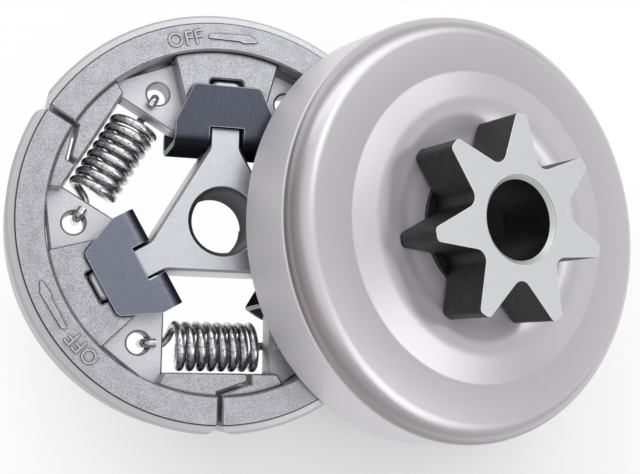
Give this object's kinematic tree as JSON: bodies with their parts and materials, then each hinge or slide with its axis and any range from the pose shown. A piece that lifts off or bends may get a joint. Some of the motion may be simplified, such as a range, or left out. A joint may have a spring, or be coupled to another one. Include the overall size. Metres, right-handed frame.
{
  "type": "chainsaw clutch",
  "caption": "Centrifugal chainsaw clutch: spring-held shoes on an armed carrier, with the drum and spur sprocket that they drive leaning on it.",
  "frame": {"origin": "centre of the threaded bore at the clutch's back face, which lies on the floor", "axes": "+Z along the bore, out of the clutch's front face; +Y through the middle of the first shoe; +X towards the drum, which leans on the clutch"},
  "size_m": [0.1179, 0.078, 0.0392],
  "materials": {
    "sintered_shoe": "grainy sintered steel",
    "carrier_steel": "satin ground steel",
    "blued_sheet": "blue-black brushed spring steel",
    "spring_wire": "blackened spring wire with bright worn tops",
    "drum_steel": "fine blasted steel",
    "sprocket_steel": "ground front face, dark sintered flanks"
  },
  "bodies": {
    "root": {"carrier": "carrier_steel", "drum_cup": "drum_steel", "drive_sprocket": "sprocket_steel", "spring_1": "spring_wire", "spring_2": "spring_wire", "spring_3": "spring_wire"},
    "shoe_1": {"shoe_1": "sintered_shoe", "retainer_1": "blued_sheet"},
    "shoe_2": {"shoe_2": "sintered_shoe", "retainer_2": "blued_sheet"},
    "shoe_3": {"shoe_3": "sintered_shoe", "retainer_3": "blued_sheet"}
  },
  "joints": [
    {"name": "shoe_1_slide", "type": "slide", "parent": "root", "child": "shoe_1", "axis": [0, 1, 0], "range_m": [0, 0.001], "stiffness_N_per_m": 6000, "springref_m": -0.005, "deforming": ["spring_1", "spring_3"]},
    {"name": "shoe_2_slide", "type": "slide", "parent": "root", "child": "shoe_2", "axis": [-0.866, -0.5, 0], "range_m": [0, 0.001], "stiffness_N_per_m": 6000, "springref_m": -0.005, "deforming": ["spring_2", "spring_1"]},
    {"name": "shoe_3_slide", "type": "slide", "parent": "root", "child": "shoe_3", "axis": [0.866, -0.5, 0], "range_m": [0, 0.001], "stiffness_N_per_m": 6000, "springref_m": -0.005, "deforming": ["spring_3", "spring_2"]}
  ]
}
